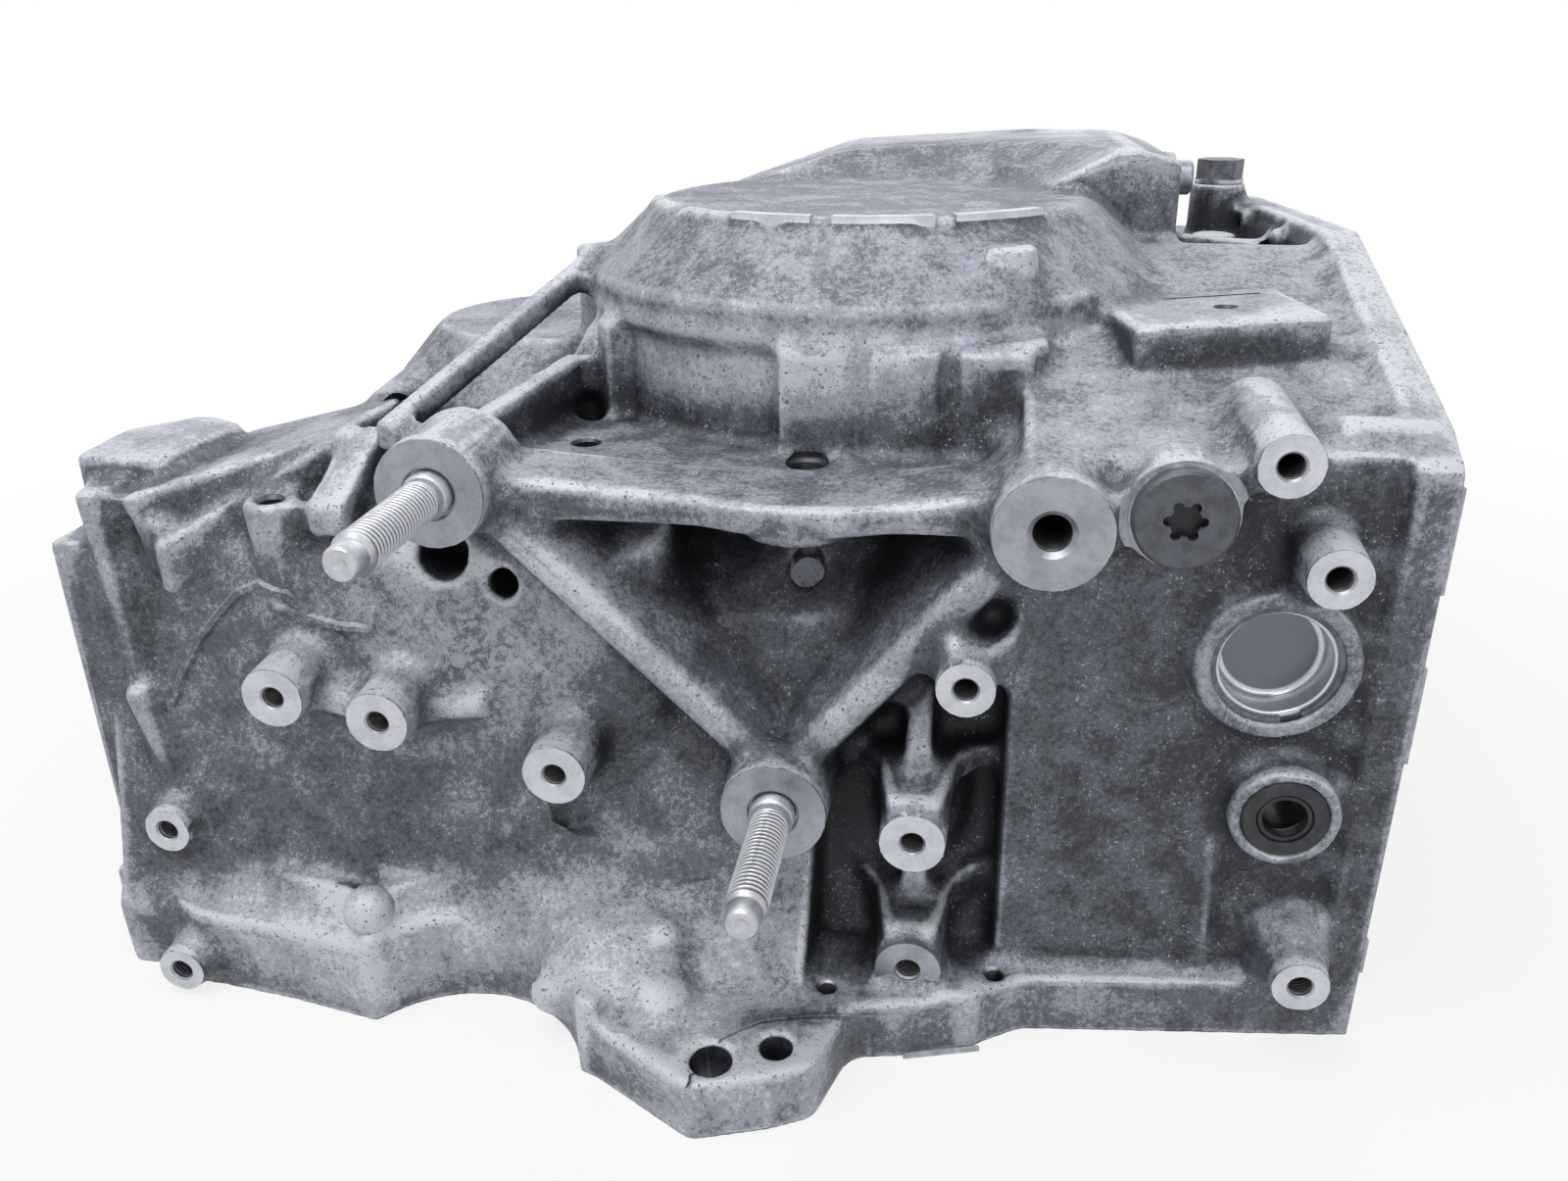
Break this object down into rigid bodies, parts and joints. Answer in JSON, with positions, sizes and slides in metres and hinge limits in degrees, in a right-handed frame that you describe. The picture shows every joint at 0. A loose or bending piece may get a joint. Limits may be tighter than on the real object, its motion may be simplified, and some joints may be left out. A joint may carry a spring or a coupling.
{
  "type": "gearbox housing",
  "caption": "Die-cast gearbox housing with a domed clutch drum, three-point mount bracket, bolt bosses, studs, plugs, shaft seal and bearing races.",
  "frame": {"origin": "where the clutch drum's axis crosses the mating face", "axes": "+X along the front wall to the side flange, +Y from the mount bracket into the case, +Z from the mating face up along the shaft axes"},
  "size_m": [0.4222, 0.4136, 0.252],
  "materials": {
    "cast_aluminium": "aged die-cast surface, dark mottled grey with bright machined faces",
    "zinc_plated_steel": "dull bright zinc on rolled thread",
    "dark_steel": "dark phosphated steel",
    "bright_aluminium": "soft bright sealing washer",
    "polished_aluminium": "fine turned, nearly polished",
    "black_rubber": "black nitrile rubber",
    "rubber_coated_shell": "steel shell under a black rubber skin",
    "spring_steel": "plain bright steel",
    "bronze": "plain sintered bronze",
    "bearing_steel": "ground bearing steel",
    "pale_sealant": "old cured sealant, pale grey"
  },
  "bodies": {
    "root": {"main_case": "cast_aluminium", "mount_stud_left": "zinc_plated_steel", "mount_stud_middle": "zinc_plated_steel", "screw_plug": "dark_steel", "screw_plug_washer": "bright_aluminium", "cup_plug": "polished_aluminium", "cup_plug_snap_ring": "dark_steel", "cup_plug_o_ring": "black_rubber", "shaft_seal_shell": "rubber_coated_shell", "shaft_seal_lip": "black_rubber", "shaft_seal_spring": "spring_steel", "shaft_bush": "bronze", "hex_plug": "dark_steel", "hex_plug_washer": "bright_aluminium", "side_pin": "spring_steel", "main_bearing_race": "bearing_steel", "counter_bearing_race": "bearing_steel", "output_bearing_race": "bearing_steel", "output_race_shim": "spring_steel", "sealant_bead": "pale_sealant"}
  },
  "joints": []
}
